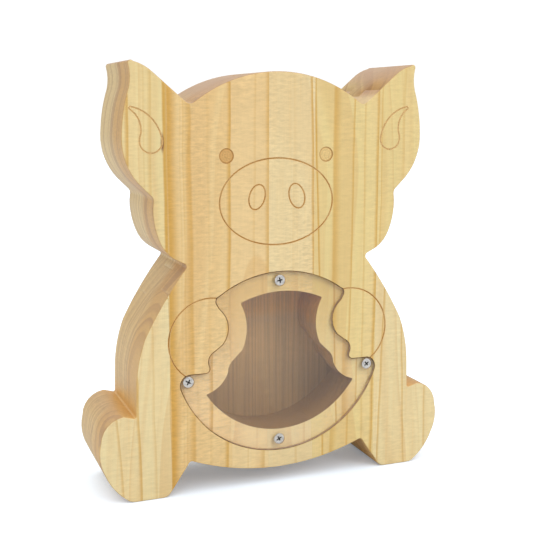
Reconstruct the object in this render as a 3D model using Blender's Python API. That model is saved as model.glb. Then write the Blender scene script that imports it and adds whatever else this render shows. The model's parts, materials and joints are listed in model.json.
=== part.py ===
"""Pig-shaped wooden money box with a clear belly window.

Metres, +Z up. The origin is on the ground under the middle of the box, the front faces -Y, and
left means -X. The body is three boards laid face to face, and each board is edge-glued from
upright pine staves. The middle board is open inside: coins drop from the slot in the head, down
a chute, into the belly chamber. Four screws hold the window in a shallow seat over the chamber.
"""

import math

import bmesh
import bpy
from mathutils import Vector

MM = 0.001

# Driving dimensions
BOARD = 0.020  # thickness of each of the three boards
GAP = 0.0003  # glue line or running gap between two pieces
EASE = 0.0009  # rounding of the outer edges
WINDOW_THICKNESS = 0.003
WINDOW_GAP = 0.0004  # all round, between the window and its seat
CHAMBER_GROWTH = 0.003  # how far the chamber reaches behind the edge of the opening
SLOT_WIDTH = 0.040
SLOT_THICKNESS = 0.005
CHUTE_TOP = 0.237
GROOVE_RADIUS = 0.0006
FACE_OFFSET = -0.0016  # of the engraved face from the centre line
EAR_LINE_OFFSET = -0.0024  # of the engraved ears from the centre line
WINDOW_OFFSET = 0.0015  # of the window and the engraved paws from the centre line
OPENING_OFFSET = 0.0026  # of the opening and the chamber from the centre line
EYE_CENTRE = (0.0321, 0.2059)
EYE_RADIUS = 0.0046
EYE_DEPTH = 0.0006
SNOUT_CENTRE = (0.0, 0.178)
SNOUT_RADII = (0.0366, 0.0262)
NOSTRIL_CENTRE = (0.0129, 0.1811)
NOSTRIL_RADII = (0.0050, 0.0077)
NOSTRIL_TILT = math.radians(16.5)
SCREW_PLACES = {
    "screw_top": (0.0004, 0.1296),
    "screw_bottom": (0.0002, 0.0282),
    "screw_left": (-0.0586, 0.0710),
    "screw_right": (0.0608, 0.0710),
}
SCREW_LENGTH = 0.016
SCREW_HEAD_RADIUS = 0.0034
SCREW_HEAD_RIM = 0.0003
SCREW_HEAD_DEPTH = 0.0022
SCREW_CORE_RADIUS = 0.00115
SCREW_THREAD_RADIUS = 0.00175
SCREW_THREAD_PITCH = 0.0016
CREST = 0.25  # half the width of the thread's ridge, as a share of its pitch
SCREW_TIP = 0.0030  # length of the pointed end
SCREW_POINT_RADIUS = 0.0001
RECESS_ARM = 0.0018
RECESS_HALF_WIDTH = 0.00045
RECESS_DEPTH = 0.0014
RECESS_FLARE = 1.45  # size of the recess just above the head
RECESS_POINT = 0.45  # and at its bottom
HOLE_GAP = 0.0002  # between a screw and the hole around it

THICKNESS = 3 * BOARD
FRONT = -THICKNESS / 2
BOARD_MIDDLES = {"front": -BOARD, "mid": 0.0, "back": BOARD}
CHORD = 4.0  # longest straight step along an arc, in mm
TURN = math.radians(18)  # largest turn between two steps along an arc
OVAL_STEPS = 22
SNOUT_STEPS = 52
HOLE_STEPS = 18
THREAD_STEPS = 12  # round one turn of a screw's thread
THREAD_ROWS = 4  # along one turn of it
PAST = 0.002  # how far a cutter reaches past the face it opens
WORLD_END = 0.4  # a plane beyond every side of the box

# Outlines in mm, as (x, z). Each half runs from the top of the centre line, down the right-hand
# side, to the bottom of the centre line. A pair of points is an arc: a point it passes through,
# then its end. A single point is the end of a straight line.
BODY_HALF = (
    (0.0, 255.2),
    ((30.0, 249.8), (52.6, 237.5)),  # crown of the head
    ((55.5, 236.4), (58.4, 237.7)),  # dip beside the ear
    (76.6, 253.4),
    ((82.0, 257.3), (88.2, 259.7)),  # top of the ear
    ((90.6, 260.0), (91.4, 258.4)),  # tip of the ear
    ((90.5, 251.0), (92.3, 241.5)),
    ((95.1, 227.5), (95.8, 214.0)),
    ((92.6, 200.2), (84.0, 188.2)),
    (79.7, 184.0),
    ((78.4, 182.4), (78.1, 180.4)),  # crease between ear and cheek
    ((78.2, 170.0), (75.2, 157.8)),
    ((70.0, 149.4), (62.2, 144.3)),  # cheek
    (60.4, 143.4),
    ((59.0, 141.7), (59.6, 139.8)),  # neck
    ((73.5, 119.8), (84.7, 99.8)),
    ((88.9, 85.0), (90.6, 69.0)),  # arm
    (91.0, 53.6),
    ((91.5, 52.6), (92.8, 52.6)),  # crease between arm and foot
    (98.6, 54.2),
    ((107.8, 49.8), (112.5, 39.0)),
    ((113.1, 28.0), (110.2, 18.8)),
    ((105.2, 9.8), (97.8, 2.2)),
    ((95.4, 0.6), (92.6, 0.0)),
    (74.8, 0.0),  # sole
    ((72.3, 0.7), (70.4, 2.4)),
    (59.2, 18.9),
    ((58.1, 20.4), (56.2, 20.6)),  # crotch
    ((30.0, 12.7), (0.0, 9.6)),  # belly
)
WINDOW_HALF = (
    (0.0, 135.0),
    ((21.5, 131.6), (40.2, 122.1)),
    ((41.9, 120.8), (41.9, 117.6)),
    ((40.4, 114.8), (37.9, 112.2)),
    ((34.4, 102.5), (38.3, 92.1)),  # round the paw
    (43.2, 88.5),
    ((46.9, 84.6), (46.5, 79.2)),
    ((46.8, 76.6), (49.2, 75.3)),
    (59.8, 75.3),
    ((63.7, 73.0), (64.9, 67.4)),  # lobe round the side screw
    ((48.6, 41.4), (0.0, 21.3)),
)
OPENING_HALF = (
    (0.0, 122.5),
    ((13.8, 121.0), (26.2, 117.0)),
    ((26.8, 116.4), (26.6, 115.5)),
    ((23.1, 102.0), (26.0, 87.4)),
    (31.3, 82.2),
    ((34.4, 78.6), (35.4, 73.8)),
    ((39.8, 66.9), (48.4, 61.8)),
    ((49.2, 61.2), (48.8, 60.4)),
    ((36.0, 46.5), (0.0, 34.0)),
)
# Engraved lines of the right-hand side, in the same form.
EAR_DROP = (
    (87.7, 234.5),
    ((78.0, 229.9), (70.2, 217.0)),
    ((71.4, 210.6), (76.6, 208.2)),
    ((81.6, 210.6), (83.1, 216.6)),
    ((82.9, 226.1), (88.0, 232.8)),
    ((88.7, 234.0), (87.7, 234.5)),
)
PAW_ARC = ((41.3, 121.2), ((72.1, 95.5), (61.6, 74.6)))

# Every stave: its board, then the stretch of x and of z, in mm, that it takes from that board,
# then its colour. The glue lines of the three boards don't meet. NECK is where the waist of the
# outline parts an outer stave in two, and INSIDE is a height within the opening.
EDGE = WORLD_END / MM
NECK = 141.0
INSIDE = 60.0
CHUTE_HALF = 24.0
PALE = (0.80, 0.67, 0.38)
GOLD = (0.76, 0.59, 0.32)
ROSE = (0.77, 0.61, 0.37)
STAVES = {
    "front_ear_left": ("front", (-EDGE, -69.8), (NECK, EDGE), PALE),
    "front_foot_left": ("front", (-EDGE, -69.8), (-EDGE, NECK), PALE),
    "front_cheek_left": ("front", (-69.8, -31.0), (-EDGE, EDGE), GOLD),
    "front_face_left": ("front", (-31.0, -7.0), (INSIDE, EDGE), ROSE),
    "front_belly_left": ("front", (-31.0, -7.0), (-EDGE, INSIDE), ROSE),
    "front_face_right": ("front", (-7.0, 23.0), (INSIDE, EDGE), PALE),
    "front_belly_right": ("front", (-7.0, 23.0), (-EDGE, INSIDE), PALE),
    "front_cheek_right": ("front", (23.0, 66.5), (-EDGE, EDGE), PALE),
    "front_ear_right": ("front", (66.5, EDGE), (NECK, EDGE), PALE),
    "front_foot_right": ("front", (66.5, EDGE), (-EDGE, NECK), GOLD),
    "mid_ear_left": ("mid", (-EDGE, -62.0), (NECK, EDGE), ROSE),
    "mid_foot_left": ("mid", (-EDGE, -62.0), (-EDGE, NECK), ROSE),
    "mid_side_left": ("mid", (-62.0, -CHUTE_HALF), (-EDGE, EDGE), GOLD),
    "mid_slot_block": ("mid", (-CHUTE_HALF, CHUTE_HALF), (CHUTE_TOP / MM, EDGE), ROSE),
    "mid_belly_block": ("mid", (-CHUTE_HALF, CHUTE_HALF), (-EDGE, INSIDE), ROSE),
    "mid_side_right": ("mid", (CHUTE_HALF, 62.0), (-EDGE, EDGE), GOLD),
    "mid_ear_right": ("mid", (62.0, EDGE), (NECK, EDGE), ROSE),
    "mid_foot_right": ("mid", (62.0, EDGE), (-EDGE, NECK), ROSE),
    "back_ear_left": ("back", (-EDGE, -74.0), (NECK, EDGE), PALE),
    "back_foot_left": ("back", (-EDGE, -74.0), (-EDGE, NECK), PALE),
    "back_side_left": ("back", (-74.0, -38.0), (-EDGE, EDGE), GOLD),
    "back_middle_left": ("back", (-38.0, -4.0), (-EDGE, EDGE), PALE),
    "back_middle_right": ("back", (-4.0, 33.0), (-EDGE, EDGE), ROSE),
    "back_side_right": ("back", (33.0, 66.0), (-EDGE, EDGE), PALE),
    "back_ear_right": ("back", (66.0, EDGE), (NECK, EDGE), GOLD),
    "back_foot_right": ("back", (66.0, EDGE), (-EDGE, NECK), GOLD),
}


def arc_points(start, via, end):
    """Points along the arc from start, through via, to end, without start itself."""
    (ax, az), (bx, bz), (cx, cz) = start, via, end
    twice_area = 2 * (ax * (bz - cz) + bx * (cz - az) + cx * (az - bz))
    a2, b2, c2 = ax * ax + az * az, bx * bx + bz * bz, cx * cx + cz * cz
    ox = (a2 * (bz - cz) + b2 * (cz - az) + c2 * (az - bz)) / twice_area
    oz = (a2 * (cx - bx) + b2 * (ax - cx) + c2 * (bx - ax)) / twice_area
    radius = math.hypot(ax - ox, az - oz)
    first = math.atan2(az - oz, ax - ox)
    sweep = (math.atan2(cz - oz, cx - ox) - first) % math.tau
    if twice_area < 0:
        sweep -= math.tau
    steps = math.ceil(max(abs(sweep) * radius / CHORD, abs(sweep) / TURN))
    turns = [first + sweep * step / steps for step in range(1, steps)]
    return [(ox + radius * math.cos(t), oz + radius * math.sin(t)) for t in turns] + [end]


def traced(path):
    """The points of a path of lines and arcs, in metres."""
    points = [path[0]]
    for step in path[1:]:
        if isinstance(step[0], tuple):
            points += arc_points(points[-1], *step)
        else:
            points.append(step)
    return [(x * MM, z * MM) for x, z in points]


def mirrored(points):
    return [(-x, z) for x, z in points]


def whole(half):
    """The closed outline whose right-hand half is given."""
    right = traced(half)
    return right + mirrored(right)[-2:0:-1]


def grown(outline, distance):
    """The clockwise closed outline, moved outwards by a distance, or inwards by a negative one."""
    moved = []
    for i, (x, z) in enumerate(outline):
        here = Vector((x, z))
        before = (here - Vector(outline[i - 1])).normalized()
        after = (Vector(outline[(i + 1) % len(outline)]) - here).normalized()
        normals = Vector((-before.y, before.x)), Vector((-after.y, after.x))
        mitre = (normals[0] + normals[1]) / (1 + normals[0].dot(normals[1]))
        moved.append(tuple(here + mitre * distance))
    return moved


def ellipse(centre, radii, tilt=0.0, steps=OVAL_STEPS):
    points = []
    for step in range(steps):
        turn = -math.tau * step / steps
        across, along = radii[0] * math.cos(turn), radii[1] * math.sin(turn)
        points.append((
            centre[0] + across * math.cos(tilt) - along * math.sin(tilt),
            centre[1] + across * math.sin(tilt) + along * math.cos(tilt),
        ))
    return points


def at_depth(outline, y):
    return [(x, y, z) for x, z in outline]


def circle(radius, y, steps=HOLE_STEPS):
    return at_depth(ellipse((0.0, 0.0), (radius, radius), steps=steps), y)


def skin(name, rings, joined=False):
    """A closed mesh through rings of equal size: capped at its ends, or joined end to end."""
    mesh = bpy.data.meshes.new(name)
    bm = bmesh.new()
    loops = [[bm.verts.new(point) for point in ring] for ring in rings]
    followers = loops[1:] + loops[:1] if joined else loops[1:]
    for loop, follower in zip(loops, followers):
        for i in range(len(loop)):
            bm.faces.new((loop[i - 1], loop[i], follower[i], follower[i - 1]))
    if not joined:
        bm.faces.new(loops[0])
        bm.faces.new(loops[-1])
    bmesh.ops.recalc_face_normals(bm, faces=bm.faces)
    bm.to_mesh(mesh)
    bm.free()
    return mesh


def block(name, low, high):
    corners = ((low[0], low[2]), (low[0], high[2]), (high[0], high[2]), (high[0], low[2]))
    return skin(name, [at_depth(corners, low[1]), at_depth(corners, high[1])])


def groove(name, path, joined):
    """A six-sided tube along a path on the front face, with a corner pointing into the wood."""
    rings = []
    for i, (x, z) in enumerate(path):
        last = len(path) - 1
        ahead = path[(i + 1) % len(path)] if joined else path[min(i + 1, last)]
        behind = path[i - 1] if joined else path[max(i - 1, 0)]
        along = (Vector(ahead) - Vector(behind)).normalized()
        ring = []
        for corner in range(6):
            turn = math.radians(30 + 60 * corner)
            side = GROOVE_RADIUS * math.cos(turn)
            ring.append((
                x - along.y * side,
                FRONT + GROOVE_RADIUS * math.sin(turn),
                z + along.x * side,
            ))
        rings.append(ring)
    return skin(name, rings, joined)


def add(name, mesh, location=(0.0, 0.0, 0.0), parent=None):
    piece = bpy.data.objects.new(name, mesh)
    piece.location = location
    piece.parent = parent
    bpy.context.scene.collection.objects.link(piece)
    return piece


def cutter(name, mesh, location=(0.0, 0.0, 0.0)):
    shape = add(name, mesh, location)
    shape.hide_render = True
    shape.display_type = "WIRE"
    return shape


def cut(piece, shape, operation="DIFFERENCE"):
    modifier = piece.modifiers.new(shape.name, "BOOLEAN")
    modifier.operation = operation
    modifier.object = shape


def finish(piece, colour, roughness, metallic=0.0, transmission=0.0):
    """Gives a piece its own material."""
    material = bpy.data.materials.new(piece.name)
    material.use_nodes = True
    surface = material.node_tree.nodes["Principled BSDF"]
    surface.inputs["Base Color"].default_value = (*colour, 1.0)
    surface.inputs["Roughness"].default_value = roughness
    surface.inputs["Metallic"].default_value = metallic
    surface.inputs["Transmission Weight"].default_value = transmission
    material.diffuse_color = (*colour, 1.0)
    piece.data.materials.clear()
    piece.data.materials.append(material)


def box_of(shape):
    """The lowest and highest corners of a cutter, in world space."""
    corners = [shape.location + Vector(corner) for corner in shape.bound_box]
    return [tuple(limit(corner[k] for corner in corners) for k in range(3)) for limit in (min, max)]


def meets(shape, low, high):
    near, far = box_of(shape)
    return all(near[k] < high[k] and far[k] > low[k] for k in range(3))


def board_mesh(board):
    """A whole board about its own middle plane, with the outer edge of an outer board eased."""
    outline = whole(BODY_HALF)
    half = BOARD / 2 - GAP / 2
    outer = BOARD / 2
    shoulder = EASE * (1 - math.sqrt(0.5))
    eased = ((-EASE, 0.0), (-shoulder, shoulder), (0.0, EASE))
    sections = {
        "front": [(growth, depth - outer) for growth, depth in eased] + [(0.0, half)],
        "mid": [(0.0, -half), (0.0, half)],
        "back": [(0.0, -half)] + [(growth, outer - depth) for growth, depth in reversed(eased)],
    }[board]
    rings = [at_depth(grown(outline, growth), y) for growth, y in sections]
    return skin(board + "_board", rings)


def hole_cutters():
    """A straight hole in the wood for each screw."""
    depth = FRONT + SCREW_LENGTH + GAP
    radius = SCREW_THREAD_RADIUS + HOLE_GAP
    mesh = skin("pilot_hole", [circle(radius, FRONT - PAST), circle(radius, depth)])
    return [cutter("hole_" + name, mesh, (x, 0.0, z)) for name, (x, z) in SCREW_PLACES.items()]


def line_cutters():
    """The engraved face, ears and paws, the flat-bottomed eyes among them."""
    snout = groove("snout_line", ellipse(SNOUT_CENTRE, SNOUT_RADII, steps=SNOUT_STEPS), True)
    shapes = [cutter("snout_line", snout, (FACE_OFFSET, 0.0, 0.0))]
    nostril = ellipse(NOSTRIL_CENTRE, NOSTRIL_RADII, NOSTRIL_TILT)
    lines = {
        "ear": (traced(EAR_DROP)[:-1], True, EAR_LINE_OFFSET),
        "paw": (traced(PAW_ARC), False, WINDOW_OFFSET),
        "nostril": (nostril, True, FACE_OFFSET),
    }
    eye = ellipse(EYE_CENTRE, (EYE_RADIUS, EYE_RADIUS))
    for side, turned in (("right", list), ("left", mirrored)):
        for name, (path, joined, offset) in lines.items():
            line = f"{name}_line_{side}"
            shapes.append(cutter(line, groove(line, turned(path), joined), (offset, 0.0, 0.0)))
        rings = [at_depth(turned(eye), FRONT - PAST), at_depth(turned(eye), FRONT + EYE_DEPTH)]
        shapes.append(cutter("eye_" + side, skin("eye_" + side, rings), (FACE_OFFSET, 0.0, 0.0)))
    return shapes


def window_cutters():
    """The window's seat, and the opening behind it."""
    seat = grown(whole(WINDOW_HALF), WINDOW_GAP)
    floor = FRONT + WINDOW_THICKNESS + GAP
    opening = whole(OPENING_HALF)
    joint = FRONT + BOARD + PAST
    hollows = (("seat", seat, floor, WINDOW_OFFSET), ("opening", opening, joint, OPENING_OFFSET))
    shapes = []
    for name, outline, end, offset in hollows:
        rings = [at_depth(outline, FRONT - PAST), at_depth(outline, end)]
        shapes.append(cutter(name, skin(name, rings), (offset, 0.0, 0.0)))
    return shapes


def chamber_cutters():
    """The belly chamber through the middle board, and the coin slot above its chute."""
    chamber = grown(whole(OPENING_HALF), CHAMBER_GROWTH)
    reach = BOARD / 2 + PAST
    rings = [at_depth(chamber, -reach), at_depth(chamber, reach)]
    hollow = cutter("chamber", skin("chamber", rings), (OPENING_OFFSET, 0.0, 0.0))
    low = (-SLOT_WIDTH / 2, -SLOT_THICKNESS / 2, CHUTE_TOP - PAST)
    high = (SLOT_WIDTH / 2, SLOT_THICKNESS / 2, WORLD_END)
    return [hollow, cutter("slot", block("slot", low, high))]


def build_staves(root):
    shapes = {
        "front": window_cutters() + hole_cutters() + line_cutters(),
        "mid": chamber_cutters(),
        "back": [],
    }
    boards = {name: board_mesh(name) for name in BOARD_MIDDLES}
    for name, (board, (left, right), (bottom, top), colour) in STAVES.items():
        middle = BOARD_MIDDLES[board]
        low = (left * MM + GAP / 2, middle - BOARD, bottom * MM)
        high = (right * MM - GAP / 2, middle + BOARD, top * MM)
        stave = add(name, boards[board].copy(), (0.0, middle, 0.0), root)
        cut(stave, cutter(name + "_stretch", block(name + "_stretch", low, high)), "INTERSECT")
        for shape in shapes[board]:
            if meets(shape, low, high):
                cut(stave, shape)
        finish(stave, colour, roughness=0.55)


def build_window(root):
    """The clear panel, about a point on the line it slides out along, with its screw holes."""
    outline = whole(WINDOW_HALF)
    rings = [at_depth(outline, 0.0), at_depth(outline, WINDOW_THICKNESS)]
    panel = skin("window_panel", rings)
    window = add("window_panel", panel, (WINDOW_OFFSET, FRONT, 0.0), root)
    through = SCREW_THREAD_RADIUS + HOLE_GAP
    rim, wide = SCREW_HEAD_RIM, SCREW_HEAD_RADIUS + HOLE_GAP
    taper = (SCREW_HEAD_RADIUS - SCREW_CORE_RADIUS) / (SCREW_HEAD_DEPTH - SCREW_HEAD_RIM)
    narrow = rim + (wide - through) / taper
    rings = [
        circle(wide, -PAST),
        circle(wide, rim),
        circle(through, narrow),
        circle(through, WINDOW_THICKNESS + PAST),
    ]
    sink = skin("countersink", rings)
    for name, (x, z) in SCREW_PLACES.items():
        cut(window, cutter("sink_" + name, sink, (x, FRONT, z)))
    finish(window, (0.93, 0.92, 0.90), roughness=0.04, transmission=1.0)
    return window


def screw_rings():
    """Rings down a screw, from the flat of its head to the tip of its threaded shank."""
    head = (
        (SCREW_HEAD_RADIUS, 0.0),
        (SCREW_HEAD_RADIUS, SCREW_HEAD_RIM),
        (SCREW_CORE_RADIUS, SCREW_HEAD_DEPTH),
    )
    rings = [circle(radius, depth, THREAD_STEPS) for radius, depth in head]
    thread_start = SCREW_HEAD_DEPTH + SCREW_THREAD_PITCH
    row_height = SCREW_THREAD_PITCH / THREAD_ROWS
    rows = int((SCREW_LENGTH - thread_start) / row_height)
    ridge = SCREW_THREAD_RADIUS - SCREW_CORE_RADIUS
    for row in range(rows):
        depth = thread_start + row * row_height
        to_tip = min(1.0, (SCREW_LENGTH - depth) / SCREW_TIP)
        ring = []
        for step in range(THREAD_STEPS):
            turn = -math.tau * step / THREAD_STEPS
            phase = (row / THREAD_ROWS - turn / math.tau) % 1.0
            height = ridge * max(0.0, 1.0 - abs(phase - 0.5) / CREST)
            radius = to_tip * (SCREW_CORE_RADIUS + height)
            ring.append((radius * math.cos(turn), depth, radius * math.sin(turn)))
        rings.append(ring)
    rings.append(circle(SCREW_POINT_RADIUS, SCREW_LENGTH, THREAD_STEPS))
    return rings


def recess_ring(scale, depth):
    """The outline of the cross recess in a screw's head."""
    arm, side = RECESS_ARM * scale, RECESS_HALF_WIDTH * scale
    ring = [(arm, -side), (arm, side), (side, side)]
    for _ in range(3):
        ring += [(-z, x) for x, z in ring[-3:]]
    return at_depth(ring, depth)


def build_screws(window):
    """Four screws, each about its own axis, riding on the window that they hold."""
    mesh = skin("screw", screw_rings())
    rings = [recess_ring(RECESS_FLARE, -RECESS_DEPTH), recess_ring(RECESS_POINT, RECESS_DEPTH)]
    recess = skin("cross_recess", rings)
    for name, (x, z) in SCREW_PLACES.items():
        screw = add(name, mesh.copy(), (x - WINDOW_OFFSET, 0.0, z), window)
        cut(screw, cutter("recess_" + name, recess, (x, FRONT, z)))
        screw.data.shade_smooth()
        screw.data.set_sharp_from_angle(angle=math.radians(40))
        finish(screw, (0.62, 0.62, 0.60), roughness=0.32, metallic=1.0)


def main():
    for old in list(bpy.data.objects):
        bpy.data.objects.remove(old, do_unlink=True)
    root = add("money_box", None)
    build_staves(root)
    build_screws(build_window(root))


main()
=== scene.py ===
"""Looks of the wooden money box: lacquered pine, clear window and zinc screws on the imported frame.

Metres, +Z up, front towards -Y. Materials work in millimetres. The wood is one field of growth
rings through all three boards, toned stave by stave on the front and the back.
"""

import json
import math

import bmesh
import bpy
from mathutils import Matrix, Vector

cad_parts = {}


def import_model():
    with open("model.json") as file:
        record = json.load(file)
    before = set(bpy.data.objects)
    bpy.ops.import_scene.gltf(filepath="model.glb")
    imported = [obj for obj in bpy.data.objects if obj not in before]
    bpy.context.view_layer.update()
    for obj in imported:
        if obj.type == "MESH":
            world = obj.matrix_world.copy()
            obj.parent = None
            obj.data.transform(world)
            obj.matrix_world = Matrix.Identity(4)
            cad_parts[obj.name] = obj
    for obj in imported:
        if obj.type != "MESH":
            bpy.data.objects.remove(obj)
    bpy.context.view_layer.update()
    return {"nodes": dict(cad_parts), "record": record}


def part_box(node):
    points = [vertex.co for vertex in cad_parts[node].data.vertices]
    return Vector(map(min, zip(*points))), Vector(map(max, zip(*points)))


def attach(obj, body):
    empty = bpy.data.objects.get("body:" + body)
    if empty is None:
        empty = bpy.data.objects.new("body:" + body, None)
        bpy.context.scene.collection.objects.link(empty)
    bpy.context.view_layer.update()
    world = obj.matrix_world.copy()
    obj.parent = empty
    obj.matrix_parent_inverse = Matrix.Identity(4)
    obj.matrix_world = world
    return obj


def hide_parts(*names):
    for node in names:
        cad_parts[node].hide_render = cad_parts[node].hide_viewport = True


MM = 1000.0  # millimetres in a metre
HAIR = 0.00001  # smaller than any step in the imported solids
BODY = "wooden_body"
FRONT = -0.030
BOARD_JOINT = 0.010  # the two glue planes between boards are this far from the middle
GLUE_GAP = 0.0003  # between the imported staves
CLOSED_GAP = 0.00003  # and what is left of it in the looks
GLUE_FACE = 0.00006  # every glued face is larger than this, in square metres
GROOVE_DEPTH = 0.0006
WOOD, ENGRAVED, SUNK, INSIDE, SEAT_WALL = range(5)  # a stave's materials
PITH = (-6.0, 74.0)  # where the growth rings centre, behind the box, in mm
FOOT_PITH = (108.0, -36.0)  # and those of the outer staves of the legs
RING_SPACING = 7.5
FOOT_RING_SPACING = 5.5
RING_WANDER = (34.0, 34.0, 0.0)  # how far the rings stray from true circles
RING_LEAN = (0.03, -0.05, 0.0)  # and how they lean over with the height
RING_SHARE = 0.26  # how strongly late wood tones the front
RING_SHARE_SIDE = 0.5
LINE_SHARE = 0.8
CURL = 0.75  # ripple of the staves in CURLY
SLIGHT_CURL = 0.42
# Noise in the wood: how fine it is along x, y and z, per millimetre.
FIBRE = (2.6, 2.6, 0.035)
STREAKS = (0.55, 0.55, 0.012)
RIPPLE = (0.17, 0.17, 0.66)
BLOTCH = (0.03, 0.03, 0.011)
PORES = (1.7, 1.7, 1.7)
BROAD = (0.075, 0.075, 0.006)
SHARED = (0.03, 0.03, 0.014)
RAW_STREAKS = (0.9, 0.9, 0.01)
LEG_TOP = (112.0, 150.0)  # heights over which a leg's rings give way to the common ones
KNOT_PLACE = (-72.3, -29.5, 214.0)
SEAT_DEPTH = 0.0035  # the window's seat ends before this depth
BOX_HEIGHT = 260.0
MERGE = 0.000002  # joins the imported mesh's doubled corners
FLAT = math.radians(0.4)  # faces that differ less than this are one flat face
LIT_HEIGHT = 0.12  # the lights point at this height


def shade(red, green, blue):
    """A linear colour from the 0 to 255 scale."""
    return (*(((c / 255 + 0.055) / 1.055) ** 2.4 for c in (red, green, blue)), 1.0)


PALE = shade(230, 209, 150)
FOOT = shade(231, 211, 159)
GREEN = shade(227, 203, 138)
GOLD = shade(229, 196, 136)
ROSE = shade(229, 197, 140)
BELLY = shade(234, 206, 151)
CREAM = shade(230, 206, 154)
# Tones of the faces that are neither front nor back: their own duller tone with some painted shade
# in it.
SIDE_BACK = shade(219, 191, 135)
SIDE_FRONT = shade(209, 166, 101)
SIDE_LOW = shade(212, 172, 108)
END_GRAIN = shade(186, 148, 112)
# Painted shade on the top of the head.
CROWN_SHADE = shade(190, 152, 122)
KNOT = shade(120, 62, 26)
LATE = shade(206, 150, 74)
LATE_SIDE = shade(160, 114, 80)
LINE = shade(200, 144, 18)
BURNT = shade(178, 120, 34)
CROOK_TONE = shade(226, 178, 100)
DIP_TONE = shade(236, 212, 160)
# Bare wood of the chamber: its own duller tone with painted shade in it, more orange towards the
# top.
RAW_PAINTED_SHADE = shade(194, 147, 84)
RAW_TOP_PAINTED_SHADE = shade(214, 148, 50)
# Burnt brown of the cut wall round the window, made darker as painted shade for the narrow gap
# beside the panel.
WALL_BURNT_AND_SHADE = shade(96, 54, 14)
SEAT_PAINTED_LIGHT = (1.19, 1.18, 1.18, 1.0)  # painted light: brightens the wood under the window to make up for what the acrylic takes away
# The same painted light towards the window's top, with less blue.
SEAT_TOP_PAINTED_LIGHT = (1.10, 1.0, 0.72, 1.0)
# Painted reflection of the dark gap, on the window's cut edge.
RIM_REFLECTION_DARK = shade(158, 98, 38)
RIM_REFLECTION_PALE = shade(206, 150, 84)
EYE_LEFT = shade(210, 164, 98)
EYE_RIGHT = shade(226, 193, 128)
EYE_RIM = shade(176, 124, 58)
ZINC = shade(216, 212, 206)
ZINC_DULL = shade(186, 182, 178)
RECESS_DARK = shade(70, 66, 62)

# Grain lines of a stave's front, in mm: x at the bottom, x at the top, width, strength, and
# which way the line fades softly, -1 to the left or 1 to the right.
GRAIN = {
    "front_ear_left": [
        (-70.2, -72.4, 5.0, 1.0, 1), (-81.0, -78.6, 3.2, 0.4, -1), (-93.0, -92.0, 3.0, 0.8, -1),
        (-84.0, -83.6, 1.4, 0.2, 1),
    ],
    "front_foot_left": [
        (-70.0, -70.4, 0.6, 0.8, 1), (-88.2, -92.6, 2.4, 0.75, -1), (-99.2, -113.0, 2.0, 0.5, -1),
        (-79.0, -81.0, 2.0, 0.3, -1),
    ],
    "front_cheek_left": [
        (-54.2, -55.8, 5.6, 0.62, -1), (-59.8, -60.6, 1.4, 0.3, 1), (-33.4, -30.6, 3.2, 0.82, -1),
        (-69.4, -69.8, 7.5, 0.95, 1), (-45.0, -46.0, 2.6, 0.15, 1), (-62.0, -62.4, 1.2, 0.2, 1),
    ],
    "front_face_left": [(-6.7, -6.7, 3.4, 0.66, -1), (-17.0, -15.2, 2.0, 0.25, -1)],
    "front_belly_left": [(-9.6, -6.8, 4.0, 0.5, -1), (-20.0, -19.0, 1.6, 0.25, -1)],
    "front_face_right": [(26.0, 21.0, 2.0, 0.9, -1), (8.0, 9.0, 3.0, 0.12, 1)],
    "front_belly_right": [(12.0, 13.0, 2.2, 0.35, -1)],
    "front_cheek_right": [
        (30.0, 22.4, 1.6, 1.0, 1), (34.9, 36.0, 6.0, 0.65, 1), (47.2, 50.5, 1.8, 0.7, -1),
        (65.0, 67.4, 2.8, 0.85, -1), (57.0, 56.6, 1.8, 0.4, 1),
    ],
    "front_ear_right": [(68.2, 68.6, 1.4, 0.5, 1), (84.0, 85.0, 3.0, 0.3, -1)],
    "front_foot_right": [
        (69.0, 76.0, 2.0, 0.7, 1), (89.8, 80.0, 1.8, 0.6, -1), (104.4, 99.6, 1.8, 0.5, 1),
    ],
}
CROOK = (92.0, 53.0)  # where an arm and a foot meet, on either side
EAR_DIP = (60.0, 238.0)  # the bottom of the dip between the head and an ear
# Where light thrown back in a corner warms the wood: the spot, how far, how much and its tone.
GLOWS = ((CROOK, 13.0, 0.7, CROOK_TONE), (EAR_DIP, 8.0, 0.75, DIP_TONE))
# How far each screw's cross is turned, in degrees.
SCREWS = {"screw_top": 10, "screw_bottom": 28, "screw_left": 62, "screw_right": 40}
HOLE_RIM = 0.0045  # everything closer to a screw's middle belongs to its hole
PAW_CENTRES = ((-44.5, 95.5), (47.5, 95.5))
PAW_RADIUS = 26.1
EYE_CENTRES = {"left": (-33.7, 205.9), "right": (30.5, 205.9)}
EYE_RADIUS = 4.6
# Zones as seen from the front, in mm: nearest to and farthest from the centre line, lowest and
# highest. A zone that starts at -1 takes in the centre line.
FACE_ZONE = (-1.0, 45.0, 150.0, 215.0)
EAR_ZONE = (67.0, 91.5, 206.0, 236.0)
PAW_ZONE = (38.0, 80.0, 72.0, 123.0)
CHAMBER_ZONE = (-1.0, 56.0, 29.0, 128.0)
CHUTE_ZONE = (-1.0, 24.0, 29.0, 238.0)

# Screws, in metres: the head is in pairs of radius and depth, and the cross recess in pairs of
# scale and depth.
HEAD = ((0.0030, 0.0), (0.0032, 0.00003), (0.00334, 0.00012), (0.0034, 0.0003))
HEAD_DEPTH = 0.0022
RECESS = ((1.4, -0.0012), (1.0, 0.0001), (0.5, 0.0013))
RECESS_ARM = 0.0018
RECESS_HALF_WIDTH = 0.00042
CORE_RADIUS = 0.00115
THREAD_RADIUS = 0.00172
THREAD_PITCH = 0.0016
THREAD_START = 0.0038
SCREW_LENGTH = 0.016
SCREW_TIP = 0.003
SCREW_STEPS = 36  # round one turn

CAMERA_PLACE = (-0.2149, -0.5634, 0.2353)
CAMERA_TURN = (80.412, -0.065, -21.144)  # in degrees
CAMERA_LENS = 64.49
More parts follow.
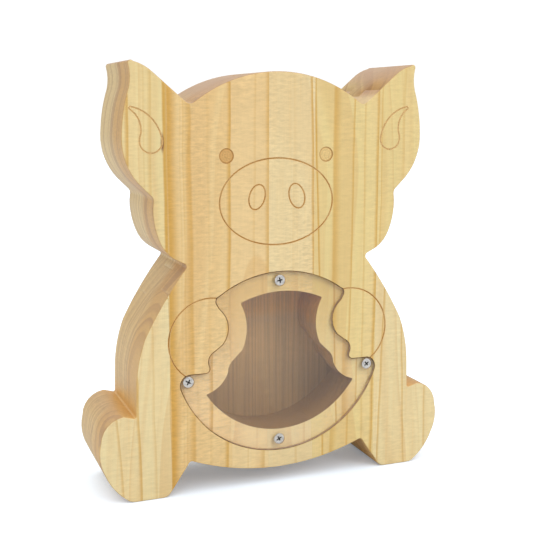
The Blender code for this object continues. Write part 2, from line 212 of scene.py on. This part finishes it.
# Name, place, size and power of each light.
LIGHTS = (
    ("key", (0.75, -1.5, 1.05), 0.7, 4.6),
    ("fill", (-1.3, -0.9, 0.7), 1.4, 1.6),
)
SKY = (0.50, 1.3)  # strength of the studio's light from below and from above
BACKDROP = 1.05  # strength of the backdrop as the camera sees it
FLOOR = (0.86, 0.9, 0.95, 1.0)
FLOOR_GLOW = (0.32, 0.38, 0.44, 1.0)
FLOOR_REACH = 4.0
CONTACT = 0.05  # how far from the object its contact shadow goes

CURLY = ("front_cheek_left_pine", "front_face_left_pine", "front_face_right_pine")
TONES = {
    "front_ear_left": PALE,
    "front_foot_left": FOOT,
    "front_cheek_left": GOLD,
    "front_face_left": ROSE,
    "front_belly_left": BELLY,
    "front_face_right": CREAM,
    "front_belly_right": CREAM,
    "front_cheek_right": GREEN,
    "front_ear_right": GREEN,
    "front_foot_right": FOOT,
    "back_ear_left": PALE,
    "back_foot_left": PALE,
    "back_side_left": GOLD,
    "back_middle_left": CREAM,
    "back_middle_right": ROSE,
    "back_side_right": GREEN,
    "back_ear_right": GOLD,
    "back_foot_right": GOLD,
}


class Graph:
    """A material's node tree, whose nodes are wired up as they are made."""

    def __init__(self, name):
        self.material = bpy.data.materials.new(name)
        self.material.use_nodes = True
        self.tree = self.material.node_tree
        self.surface = self.tree.nodes["Principled BSDF"]
        self.output = self.tree.nodes["Material Output"]

    def plug(self, socket, value):
        """Links a socket to an input, or sets the input to a plain value."""
        if isinstance(value, bpy.types.NodeSocket):
            self.tree.links.new(value, socket)
        else:
            socket.default_value = value

    def node(self, kind, *values, named=None, **settings):
        made = self.tree.nodes.new("ShaderNode" + kind)
        for key, value in settings.items():
            setattr(made, key, value)
        for socket, value in zip(made.inputs, values):
            self.plug(socket, value)
        for key, value in (named or {}).items():
            self.plug(made.inputs[key], value)
        return made

    def maths(self, operation, *values):
        return self.node("Math", *values, operation=operation).outputs[0]

    def vector(self, operation, *values):
        return self.node("VectorMath", *values, operation=operation).outputs[0]

    def step(self, value, low, high, to_low=0.0, to_high=1.0):
        """A smooth step from to_low, where value is at low, to to_high, where it is at high."""
        made = self.node(
            "MapRange", value, low, high, to_low, to_high, interpolation_type="SMOOTHSTEP"
        )
        return made.outputs[0]

    def mix(self, share, first, second, blend="MIX"):
        made = self.node("Mix", data_type="RGBA", blend_type=blend)
        for index, value in ((0, share), (6, first), (7, second)):
            self.plug(made.inputs[index], value)
        return made.outputs[2]

    def dim(self, colour, value):
        """A colour times a grey value."""
        grey = self.node("CombineXYZ", value, value, value).outputs[0]
        return self.mix(1.0, colour, grey, "MULTIPLY")

    def noise(self, place, stretch, seed, detail=2.0, roughness=0.5):
        """Noise whose grains are 1 / stretch millimetres long in each direction."""
        moved = self.node(
            "VectorMath", place, stretch, (seed, seed * 0.7, -seed * 1.3), operation="MULTIPLY_ADD"
        ).outputs[0]
        named = {"Vector": moved, "Scale": 1.0, "Detail": detail, "Roughness": roughness}
        return self.node("TexNoise", named=named)

    def millimetres(self):
        """The place on the object at rest, in millimetres."""
        place = self.node("TexCoord").outputs["Object"]
        return self.node("VectorMath", place, named={"Scale": MM}, operation="SCALE").outputs[0]

    def finish(self, **sockets):
        for name, value in sockets.items():
            self.plug(self.surface.inputs[name.replace("_", " ").title()], value)
        return self.material


def tint(value):
    """A grey colour."""
    return (value, value, value, 1.0)


def off_spot(g, place, spot):
    """How many millimetres a place is from a spot (x, z), seen from the front."""
    offset = g.vector("SUBTRACT", place, (spot[0], 0.0, spot[1]))
    flat = g.vector("MULTIPLY", offset, (1.0, 0.0, 1.0))
    return g.node("VectorMath", flat, operation="LENGTH").outputs[1]


def growth_rings(g, place, pith, spacing):
    """How dark the late wood is at a place, from 0 to 1."""
    drift = g.noise(place, (0.011, 0.011, 0.0045), 3.1, detail=1.5).outputs[1]
    centred = g.vector("SUBTRACT", drift, (0.5, 0.5, 0.5))
    wander = g.vector("MULTIPLY", centred, RING_WANDER)
    lean = g.vector("MULTIPLY", g.node("SeparateXYZ", place).outputs[2], RING_LEAN)
    from_pith = g.vector("SUBTRACT", place, (*pith, 0.0))
    flat = g.vector("MULTIPLY", from_pith, (1.0, 1.0, 0.0))
    bent = g.vector("ADD", g.vector("ADD", flat, wander), lean)
    radius = g.node("VectorMath", bent, operation="LENGTH").outputs[1]
    uneven = g.node(
        "TexNoise", noise_dimensions="1D",
        named={"W": g.maths("MULTIPLY", radius, 0.09), "Scale": 1.0, "Detail": 2.0},
    ).outputs[0]
    phase = g.maths("ADD", g.maths("DIVIDE", radius, spacing), g.maths("MULTIPLY", uneven, 3.2))
    part = g.maths("FRACT", phase)
    bold = g.node(
        "TexWhiteNoise", noise_dimensions="1D", named={"W": g.maths("FLOOR", phase)}
    ).outputs[0]
    late = g.maths("MULTIPLY", g.step(part, 0.25, 0.88), g.step(part, 0.9, 1.0, 1.0, 0.0))
    return g.maths("MULTIPLY", late, g.step(bold, 0.0, 1.0, 0.25, 1.0))


def grain_line(g, x, y, z, wave, low, high, width, strength, soft):
    """One bold grain line of a front stave, sharp on one side and soft on the other."""
    centre = g.maths("MULTIPLY_ADD", z, (high - low) / BOX_HEIGHT, low)
    slant = (100.0 / low) if abs(low) > 25 else 2.0
    inward = g.maths("MULTIPLY_ADD", g.maths("ADD", y, -FRONT * MM), slant, centre)
    across = g.maths("SUBTRACT", x, g.maths("ADD", inward, wave))
    across = g.maths("MULTIPLY", across, float(soft))
    rise = g.step(across, -0.16 * width, 0.1 * width)
    fall = g.step(across, 0.1 * width, width, 1.0, 0.0)
    return g.maths("MULTIPLY", g.maths("MULTIPLY", rise, fall), strength)


def pine(name, tone, seed, lines, knot=None, raw=False):
    """Lacquered pine, or with raw the bare wood of the chamber, toned partly as painted shade."""
    g = Graph(name)
    place = g.millimetres()
    x, y, z = g.node("SeparateXYZ", place).outputs[:3]
    normal = g.vector("ABSOLUTE", g.node("NewGeometry").outputs["Normal"])
    _, facing, upward = g.node("SeparateXYZ", normal).outputs[:3]
    side = g.step(facing, 0.45, 0.92, 1.0, 0.0)
    end = g.maths("MULTIPLY", g.step(upward, 0.3, 0.95), side)

    late = growth_rings(g, place, PITH, RING_SPACING)
    late_side = late
    if "foot" in name or name.split("_")[1] == "side":
        across = FOOT_PITH[0] if "right" in name else -FOOT_PITH[0]
        late_side = growth_rings(g, place, (across, FOOT_PITH[1]), FOOT_RING_SPACING)
        if not name.startswith("front"):
            change = g.maths("SUBTRACT", late, late_side)
            late_side = g.maths("MULTIPLY_ADD", g.step(z, *LEG_TOP), change, late_side)
    fibre = g.noise(place, FIBRE, seed, detail=3.0, roughness=0.6).outputs[0]
    streaks = g.noise(place, STREAKS, seed + 2.0).outputs[0]
    ripple = g.noise(place, RIPPLE, seed + 5.0, detail=3.0, roughness=0.7).outputs[0]
    blotch = g.noise(place, BLOTCH, seed + 9.0).outputs[0]
    pores = g.noise(place, PORES, seed + 4.0).outputs[0]
    broad = g.noise(place, BROAD, seed + 7.0, detail=1.0).outputs[0]
    shared = g.noise(place, SHARED, 41.0).outputs[0]  # the same in every stave

    # The front and back keep their stave's tone, and every other face the common, duller one, which
    # is partly painted shade.
    front = g.mix(g.step(broad, 0.35, 0.72, 0.0, 0.32), tone, ROSE)
    front = g.mix(g.step(streaks, 0.5, 0.8, 0.0, 0.35), front, GOLD)
    front = g.mix(g.maths("MULTIPLY", late, RING_SHARE), front, LATE)
    wave = g.maths("MULTIPLY_ADD", g.noise(place, (0.0, 0.0, 0.02), seed).outputs[0], 2.4, -1.2)
    for line in lines:
        share = grain_line(g, x, y, z, wave, *line)
        front = g.mix(g.maths("MULTIPLY", share, LINE_SHARE), front, LINE)
    warmth = g.maths("MULTIPLY_ADD", g.maths("SUBTRACT", shared, 0.5), 34.0, y)
    sides = g.mix(g.step(warmth, -12.0, 0.0), SIDE_FRONT, SIDE_BACK)
    sides = g.mix(g.step(z, 110.0, 150.0, 0.45, 0.0), sides, SIDE_LOW)
    thin = g.maths("MULTIPLY", g.step(warmth, -2.0, -0.8), g.step(warmth, -0.8, -0.2, 0.4, 0.0))
    sides = g.mix(thin, sides, LATE_SIDE)
    sides = g.mix(g.maths("MULTIPLY", late_side, RING_SHARE_SIDE), sides, LATE_SIDE)
    sides = g.mix(g.maths("MULTIPLY", end, 0.35), sides, END_GRAIN)
    for spot, reach, share, glow in GLOWS:
        near = off_spot(g, g.vector("ABSOLUTE", place), spot)
        sides = g.mix(g.step(near, 1.0, reach, share, 0.0), sides, glow)
    # Painted shade: the top of the head is darkened, more towards the back.
    crown_shade = g.maths("MULTIPLY", g.step(z, 236.0, 246.0), g.step(y, -30.0, 0.0, 0.4, 0.7))
    sides = g.mix(g.maths("MULTIPLY", crown_shade, end), sides, CROWN_SHADE)
    colour = g.mix(side, front, sides)
    # The chamber's bare wood: partly its own tone and partly painted shade, more orange towards the
    # top and darker towards the bottom as painted shade.
    if raw:
        colour = g.mix(0.7, colour, g.mix(g.step(z, 96.0, 104.0), RAW_PAINTED_SHADE, RAW_TOP_PAINTED_SHADE))
        streak = g.noise(place, RAW_STREAKS, 51.0).outputs[0]
        streak = g.step(streak, 0.35, 0.7, 1.08, 0.84)
        streaks_and_painted_shade = g.maths("MULTIPLY", streak, g.step(z, 50.0, 85.0, 0.78, 1.0))
        colour = g.dim(colour, streaks_and_painted_shade)
    else:
        # Painted light: the wood under the window is brightened to make up for the light the acrylic
        # takes away.
        under_window = g.step(y, FRONT * MM + 2.2, FRONT * MM + 2.9)
        covered = g.maths("MULTIPLY", under_window, g.step(y, -26.0, -22.0, 1.0, 0.0))
        covered = g.maths("MULTIPLY", covered, g.step(side, 0.0, 1.0, 1.0, 0.0))
        seat = g.mix(g.step(z, 70.0, 128.0), SEAT_PAINTED_LIGHT, SEAT_TOP_PAINTED_LIGHT)
        colour = g.mix(covered, colour, seat, "MULTIPLY")
    if knot:
        away = g.vector("MULTIPLY", g.vector("SUBTRACT", place, knot), (0.75, 0.25, 0.15))
        near = g.node("VectorMath", away, operation="LENGTH").outputs[1]
        colour = g.mix(g.step(near, 0.35, 1.1, 0.85, 0.0), colour, KNOT)

    curl = CURL if name in CURLY else SLIGHT_CURL
    value = g.maths("MULTIPLY_ADD", g.maths("SUBTRACT", fibre, 0.5), 0.15, 1.0)
    where = g.step(blotch, 0.35, 0.65, 0.4, 1.0)
    patchy = g.maths("MULTIPLY", g.maths("SUBTRACT", ripple, 0.5), where)
    value = g.maths("MULTIPLY_ADD", patchy, curl, value)
    value = g.maths("MULTIPLY_ADD", g.maths("SUBTRACT", shared, 0.5), 0.10, value)
    rough_end = g.maths("MULTIPLY", g.maths("SUBTRACT", pores, 0.5), end)
    value = g.maths("MULTIPLY_ADD", rough_end, 0.25, value)
    colour = g.dim(colour, value)

    height = g.maths("MULTIPLY_ADD", late, 0.5, fibre)
    height = g.maths("MULTIPLY_ADD", ripple, 0.35, height)
    bump = g.node("Bump", named={"Strength": 0.35, "Distance": 0.00008, "Height": height})
    roughness = g.step(fibre, 0.3, 0.7, 0.46, 0.6)
    return g.finish(
        Base_Color=colour, Roughness=roughness, Normal=bump.outputs[0], Coat_Weight=0.12,
        Coat_Roughness=0.35,
    )


def burnt(name, strength, tone=BURNT):
    """Wood browned towards the bottom of an engraved line, here more and there less."""
    g = Graph(name)
    place = g.millimetres()
    _, y, _ = g.node("SeparateXYZ", place).outputs[:3]
    char = g.noise(place, (1.5, 1.5, 1.5), 11.0, detail=3.0).outputs[0]
    uneven = g.noise(place, (0.12, 0.12, 0.12), 17.0, detail=2.0).outputs[0]
    share = g.step(y, FRONT * MM + 0.25, FRONT * MM + 0.56, 0.0, strength)
    share = g.maths("MULTIPLY", share, g.step(uneven, 0.3, 0.65, 0.65, 1.0))
    value = g.step(char, 0.3, 0.7, 0.85, 1.12)
    colour = g.dim(g.mix(share, ROSE, tone), value)
    bump = g.node("Bump", named={"Strength": 0.5, "Distance": 0.0001, "Height": char})
    return g.finish(Base_Color=colour, Roughness=0.75, Normal=bump.outputs[0])


def eye(name, tone, centre):
    """A sunk round eye, milled in circles and browned at its rim."""
    g = Graph(name)
    place = g.millimetres()
    radius = off_spot(g, place, centre)
    mottle = g.noise(place, (1.1, 1.1, 1.1), 23.0, detail=3.0).outputs[0]
    ring = g.maths("SINE", g.maths("MULTIPLY", radius, math.tau / 1.5))
    rim = g.step(radius, EYE_RADIUS - 1.3, EYE_RADIUS - 0.1, 0.0, 0.75)
    value = g.maths("MULTIPLY_ADD", ring, 0.05, g.step(mottle, 0.3, 0.7, 0.88, 1.08))
    colour = g.dim(g.mix(rim, tone, EYE_RIM), value)
    height = g.maths("MULTIPLY_ADD", ring, 0.5, mottle)
    bump = g.node("Bump", named={"Strength": 0.4, "Distance": 0.0001, "Height": height})
    return g.finish(Base_Color=colour, Roughness=0.7, Normal=bump.outputs[0])


def acrylic():
    """Clear panel, cast with no shadow of its own, faintly wiped and scuffed."""
    g = Graph("clear_acrylic")
    place = g.millimetres()
    scuff = g.noise(place, (0.25, 0.25, 0.9), 21.0, detail=4.0).outputs[0]
    g.finish(
        Base_Color=tint(1.0), Roughness=g.step(scuff, 0.45, 0.8, 0.015, 0.07),
        Transmission_Weight=1.0,
    )
    g.surface.inputs["IOR"].default_value = 1.49
    clear = g.node("BsdfTransparent", tint(0.97))
    is_shadow = g.node("LightPath").outputs["Is Shadow Ray"]
    both = g.node("MixShader", is_shadow, g.surface.outputs[0], clear.outputs[0])
    g.tree.links.new(both.outputs[0], g.output.inputs[0])
    return g.material


def acrylic_rim():
    """The panel's edge, matt from the cut and coloured brown as a painted reflection of the dark gap
    beside it.
    """
    g = Graph("acrylic_rim")
    place = g.millimetres()
    reflection_patches = g.noise(place, (0.15, 0.15, 0.15), 61.0, detail=2.0).outputs[0]
    saw = g.noise(place, (2.0, 0.4, 2.0), 63.0, detail=2.0).outputs[0]
    colour = g.mix(g.step(reflection_patches, 0.35, 0.65), RIM_REFLECTION_DARK, RIM_REFLECTION_PALE)
    bump = g.node("Bump", named={"Strength": 0.3, "Distance": 0.00005, "Height": saw})
    return g.finish(
        Base_Color=colour, Roughness=g.step(saw, 0.3, 0.7, 0.3, 0.5), Transmission_Weight=0.45,
        Normal=bump.outputs[0],
    )


def zinc():
    """Bright zinc plate with turning marks, darker and less metallic deeper in the cross recess."""
    g = Graph("zinc_plate")
    place = g.millimetres()
    _, depth, _ = g.node("SeparateXYZ", place).outputs[:3]
    cloud = g.noise(place, (0.8, 0.8, 0.8), 31.0, detail=3.0).outputs[0]
    turned = g.noise(place, (3.0, 3.0, 3.0), 33.0, detail=2.0).outputs[0]
    metal = g.mix(g.step(cloud, 0.35, 0.7), ZINC, ZINC_DULL)
    # Darker and less metallic deeper in, towards the bottom of the cross recess.
    deep_in_recess = g.step(depth, FRONT * MM + 0.15, FRONT * MM + 0.7)
    colour = g.mix(deep_in_recess, metal, RECESS_DARK)
    bump = g.node("Bump", named={"Strength": 0.3, "Distance": 0.00004, "Height": turned})
    return g.finish(
        Base_Color=colour, Metallic=g.step(deep_in_recess, 0.0, 1.0, 1.0, 0.4),
        Roughness=g.step(turned, 0.3, 0.7, 0.26, 0.42), Normal=bump.outputs[0],
    )


def slots_of_nodes(record):
    """The material slot of each CAD node."""
    return {row["node"]: row["material_slot"] for row in record["subparts"]}


def welded(node):
    """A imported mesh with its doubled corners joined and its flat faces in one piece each."""
    bm = bmesh.new()
    bm.from_mesh(node.data)
    bmesh.ops.remove_doubles(bm, verts=bm.verts, dist=MERGE)
    bmesh.ops.dissolve_limit(bm, angle_limit=FLAT, verts=bm.verts, edges=bm.edges)
    return bm


def plain_mesh(bm, name):
    """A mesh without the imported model's own normals."""
    mesh = bpy.data.meshes.new(name)
    bm.to_mesh(mesh)
    bm.free()
    for layer in ("custom_normal", "sharp_face", "sharp_edge"):
        if layer in mesh.attributes:
            mesh.attributes.remove(mesh.attributes[layer])
    return mesh


def within(x, z, zone):
    """True for a place in a zone of the left or the right half."""
    near, far, bottom, top = zone
    return near < abs(x) < far and bottom < z < top


def in_groove(face):
    """True for a face of an engraved line or an eye in a front stave."""
    low = min(v.co.y for v in face.verts)
    high = max(v.co.y for v in face.verts)
    bottom = FRONT + GROOVE_DEPTH
    if high < FRONT + 2 * HAIR or high > bottom + 5 * HAIR or low < FRONT - HAIR:
        return False
    middle = face.calc_center_median()
    x, z = middle.x * MM, middle.z * MM
    off_paw = min(abs(math.dist((x, z), centre) - PAW_RADIUS) for centre in PAW_CENTRES)
    on_paw = off_paw < 1.5 and within(x, z, PAW_ZONE)
    return on_paw or within(x, z, FACE_ZONE) or within(x, z, EAR_ZONE)


def is_seat_wall(face):
    """True for the narrow wall round the window."""
    depths = [v.co.y for v in face.verts]
    in_seat = min(depths) > FRONT - HAIR and max(depths) < FRONT + SEAT_DEPTH
    return abs(face.normal.y) < 0.2 and in_seat


def is_inside(face, board):
    """True for a face that only the chamber or the chute shows."""
    if board == "back":
        return face.normal.y < -0.9
    middle = face.calc_center_median()
    x, z = middle.x * MM, middle.z * MM
    in_reach = within(x, z, CHAMBER_ZONE) or within(x, z, CHUTE_ZONE)
    if board == "front":
        return in_reach and middle.y > FRONT + SEAT_DEPTH and face.normal.y >= -0.9
    return in_reach


def slope_beside(vertex, face):
    """Rise in z for each step in x along the outline, where it leaves a glue face."""
    slopes = [0.0]
    for edge in vertex.link_edges:
        if face in edge.link_faces:
            continue
        way = edge.other_vert(vertex).co - vertex.co
        if abs(way.x) > 0.3 * way.length:
            slopes.append(way.z / way.x)
    return max(slopes, key=abs)


def close_glue_lines(bm):
    """Moves the faces of each glue line together, leaving a hairline."""
    shift = (GLUE_GAP - CLOSED_GAP) / 2
    moves = {}
    slides = {}
    for face in bm.faces:
        along = 0 if abs(face.normal.x) > 0.99999 else 1 if abs(face.normal.y) > 0.99999 else None
        if along is None or face.calc_area() < GLUE_FACE:
            continue
        if along == 1 and abs(abs(face.verts[0].co.y) - BOARD_JOINT) > GLUE_GAP:
            continue
        for vertex in face.verts:
            moves.setdefault(vertex, {})[along] = shift if face.normal[along] > 0 else -shift
            if along == 0:
                slides[vertex] = slope_beside(vertex, face)
    for vertex, steps in moves.items():
        for along, step in steps.items():
            vertex.co[along] += step
            if along == 0:
                vertex.co.z += step * slides[vertex]


def piece(name, mesh, node, body):
    """A piece in the place of a CAD node."""
    made = bpy.data.objects.new(name, mesh)
    bpy.context.scene.collection.objects.link(made)
    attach(made, body)
    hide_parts(node)
    return made


def soften(made, angle):
    """Smooth shading that leaves flat faces flat and keeps edges sharper than the angle."""
    made.data.shade_smooth()
    made.data.set_sharp_from_angle(angle=math.radians(angle))
    weighted = made.modifiers.new("weighted_normals", "WEIGHTED_NORMAL")
    weighted.keep_sharp = True


def stave(node, materials):
    """One stave of wood, its materials given out by what each face is."""
    bm = welded(node)
    close_glue_lines(bm)
    board = node.name.split("_")[0]
    for face in bm.faces:
        face.material_index = WOOD
        if is_inside(face, board):
            face.material_index = INSIDE
        elif board == "front" and in_groove(face):
            flat = abs(face.normal.y) > 0.99
            face.material_index = SUNK if flat else ENGRAVED
        elif board == "front" and is_seat_wall(face):
            face.material_index = SEAT_WALL
    mesh = plain_mesh(bm, node.name + "_wood")
    for material in materials:
        mesh.materials.append(material)
    soften(piece(node.name + "_wood", mesh, node.name, BODY), 50)


def window(node, materials):
    """The clear panel, with a polished edge round it and round its screw holes; the outer edge and
    the bevels are brown, a painted reflection of the dark gap.
    """
    bm = welded(node)
    middles = [(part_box(name)[0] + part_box(name)[1]) / 2 for name in SCREWS]
    for face in bm.faces:
        at = face.calc_center_median()
        off_screw = min(math.dist((at.x, at.z), (middle.x, middle.z)) for middle in middles)
        face.material_index = 1 if abs(face.normal.y) < 0.5 and off_screw > HOLE_RIM else 0
    mesh = plain_mesh(bm, "window_acrylic")
    for material in materials:
        mesh.materials.append(material)
    made = piece("window_acrylic", mesh, node.name, "window")
    bevel = made.modifiers.new("polished_edge", "BEVEL")
    bevel.width = 0.00025
    bevel.segments = 2
    bevel.material = 1
    bevel.angle_limit = math.radians(40)
    soften(made, 45)


def skin(name, rings):
    """A closed mesh over rings of points, with a face across each end."""
    bm = bmesh.new()
    rows = [[bm.verts.new(point) for point in ring] for ring in rings]
    for row, follower in zip(rows, rows[1:]):
        for i in range(len(row)):
            bm.faces.new((row[i - 1], row[i], follower[i], follower[i - 1]))
    bm.faces.new(rows[0])
    bm.faces.new(rows[-1])
    bmesh.ops.recalc_face_normals(bm, faces=bm.faces)
    mesh = bpy.data.meshes.new(name)
    bm.to_mesh(mesh)
    bm.free()
    return mesh


def lathe(name, profile, steps):
    """A closed mesh turned about Y from (radius, depth) pairs."""
    turns = [math.tau * i / steps for i in range(steps)]
    return skin(name, [
        [(radius * math.cos(t), depth, radius * math.sin(t)) for t in turns]
        for radius, depth in profile
    ])


def cross_recess():
    """A tapering cross to sink in a screw's head."""
    rings = []
    for scale, depth in RECESS:
        arm, half = RECESS_ARM * scale, RECESS_HALF_WIDTH * scale
        ring = [(arm, -half), (arm, half), (half, half)]
        for _ in range(3):
            ring += [(-z, x) for x, z in ring[-3:]]
        rings.append([(x, depth, z) for x, z in ring])
    return skin("cross_recess", rings)


def screw_profile():
    """Radius and depth of a screw's outline, from its head to its tip."""
    profile = [*HEAD, (CORE_RADIUS, HEAD_DEPTH)]
    depth = THREAD_START
    while depth < SCREW_LENGTH - 10 * HAIR:
        to_tip = min(1.0, (SCREW_LENGTH - depth) / SCREW_TIP)
        profile.append((CORE_RADIUS * to_tip, depth))
        profile.append((THREAD_RADIUS * to_tip, depth + THREAD_PITCH * 0.3))
        profile.append((CORE_RADIUS * to_tip, depth + THREAD_PITCH * 0.6))
        depth += THREAD_PITCH
    profile = [(radius, min(d, SCREW_LENGTH - 5 * HAIR)) for radius, d in profile]
    return [*profile, (10 * HAIR, SCREW_LENGTH)]


def screw_mesh():
    """A countersunk screw with a rounded rim, a cross recess and a ridged shank."""
    mesh = lathe("screw", screw_profile(), SCREW_STEPS)
    body = bpy.data.objects.new("screw_blank", mesh)
    tool = bpy.data.objects.new("screw_tool", cross_recess())
    for made in (body, tool):
        bpy.context.scene.collection.objects.link(made)
    cut = body.modifiers.new("recess", "BOOLEAN")
    cut.operation = "DIFFERENCE"
    cut.object = tool
    bpy.context.view_layer.update()
    cut_mesh = bpy.data.meshes.new_from_object(
        body.evaluated_get(bpy.context.evaluated_depsgraph_get())
    )
    for made in (body, tool):
        bpy.data.objects.remove(made)
    return cut_mesh


def screws(material):
    """The four screws, each turned its own way in its place."""
    pattern = screw_mesh()
    for name, turn in SCREWS.items():
        low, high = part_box(name)
        mesh = pattern.copy()
        middle = (low + high) / 2
        about = Vector((middle.x, low.y, middle.z))
        angle = math.radians(turn)
        for vertex in mesh.vertices:
            x, y, z = vertex.co
            vertex.co = about + Vector((
                x * math.cos(angle) - z * math.sin(angle), y,
                x * math.sin(angle) + z * math.cos(angle),
            ))
        mesh.materials.clear()
        mesh.materials.append(material)
        made = piece(name + "_zinc", mesh, name, name)
        soften(made, 35)


def studio_light(scene):
    """An even white surrounding, brighter from above."""
    world = bpy.data.worlds.new("studio")
    scene.world = world
    world.use_nodes = True
    tree = world.node_tree
    background = tree.nodes["Background"]
    background.inputs["Color"].default_value = tint(1.0)
    upward = tree.nodes.new("ShaderNodeTexCoord")
    split = tree.nodes.new("ShaderNodeSeparateXYZ")
    brighter = tree.nodes.new("ShaderNodeMapRange")
    brighter.inputs["To Min"].default_value, brighter.inputs["To Max"].default_value = SKY
    tree.links.new(upward.outputs["Generated"], split.inputs[0])
    tree.links.new(split.outputs[2], brighter.inputs[0])
    tree.links.new(brighter.outputs[0], background.inputs["Strength"])
    seen = tree.nodes.new("ShaderNodeBackground")
    seen.inputs["Color"].default_value = tint(1.0)
    seen.inputs["Strength"].default_value = BACKDROP
    path = tree.nodes.new("ShaderNodeLightPath")
    both = tree.nodes.new("ShaderNodeMixShader")
    tree.links.new(path.outputs["Is Camera Ray"], both.inputs[0])
    tree.links.new(background.outputs[0], both.inputs[1])
    tree.links.new(seen.outputs[0], both.inputs[2])
    tree.links.new(both.outputs[0], tree.nodes["World Output"].inputs[0])
    for name, place, size, power in LIGHTS:
        light = bpy.data.lights.new(name, "AREA")
        light.size = size
        light.energy = power
        lamp = bpy.data.objects.new(name, light)
        lamp.location = place
        towards = Vector((0.0, 0.0, LIT_HEIGHT)) - Vector(place)
        lamp.rotation_euler = towards.to_track_quat("-Z", "Y").to_euler()
        scene.collection.objects.link(lamp)


def pale_floor(scene):
    """A white floor that shows only the object's shadow."""
    mesh = bpy.data.meshes.new("floor")
    corners = ((-1, -1), (1, -1), (1, 1), (-1, 1))
    points = [(x * FLOOR_REACH, y * FLOOR_REACH, 0.0) for x, y in corners]
    mesh.from_pydata(points, [], [(0, 1, 2, 3)])
    floor = bpy.data.objects.new("floor", mesh)
    scene.collection.objects.link(floor)
    g = Graph("pale_floor")
    g.finish(Base_Color=FLOOR, Roughness=0.9)
    g.surface.inputs["Specular IOR Level"].default_value = 0.0
    g.surface.inputs["Emission Color"].default_value = FLOOR_GLOW
    open_sky = g.node("AmbientOcclusion", named={"Distance": CONTACT}, samples=16).outputs["AO"]
    seen = g.node("LightPath").outputs["Is Camera Ray"]
    glow = g.maths("MULTIPLY", seen, g.step(open_sky, 0.1, 0.6, 0.45, 1.0))
    g.plug(g.surface.inputs["Emission Strength"], glow)
    mesh.materials.append(g.material)


def studio():
    """The floor, the light and the camera."""
    scene = bpy.context.scene
    scene.view_settings.view_transform = "Standard"
    studio_light(scene)
    pale_floor(scene)
    camera = bpy.data.cameras.new("camera")
    camera.lens = CAMERA_LENS
    camera.clip_start = 0.01
    view = bpy.data.objects.new("camera", camera)
    view.location = CAMERA_PLACE
    view.rotation_euler = [math.radians(angle) for angle in CAMERA_TURN]
    scene.collection.objects.link(view)
    scene.camera = view


def main():
    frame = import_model()
    slots = slots_of_nodes(frame["record"])
    dark_line, faint_line = burnt("engraved_line", 0.95), burnt("faint_engraved_line", 0.38)
    # The wall round the window: burnt brown, darkened further as painted shade.
    seat_wall = burnt("seat_wall", 1.0, WALL_BURNT_AND_SHADE)
    eyes = {
        side: eye(side + "_eye", tone, EYE_CENTRES[side])
        for side, tone in (("left", EYE_LEFT), ("right", EYE_RIGHT))
    }
    wooden = [name for name, slot in slots.items() if slot.startswith("pine")]
    inside = pine("raw_pine", ROSE, 0.5, (), raw=True)
    for number, name in enumerate(sorted(wooden)):
        knot = KNOT_PLACE if name == "front_ear_left" else None
        tone, seed = TONES.get(name, ROSE), 3.7 * number + 1.0
        wood = pine(name + "_pine", tone, seed, GRAIN.get(name, ()), knot)
        line = faint_line if "ear" in name else dark_line
        sunk = eyes["left" if "left" in name else "right"]
        stave(frame["nodes"][name], (wood, line, sunk, inside, seat_wall))
    window(frame["nodes"]["window_panel"], (acrylic(), acrylic_rim()))
    screws(zinc())
    studio()


main()
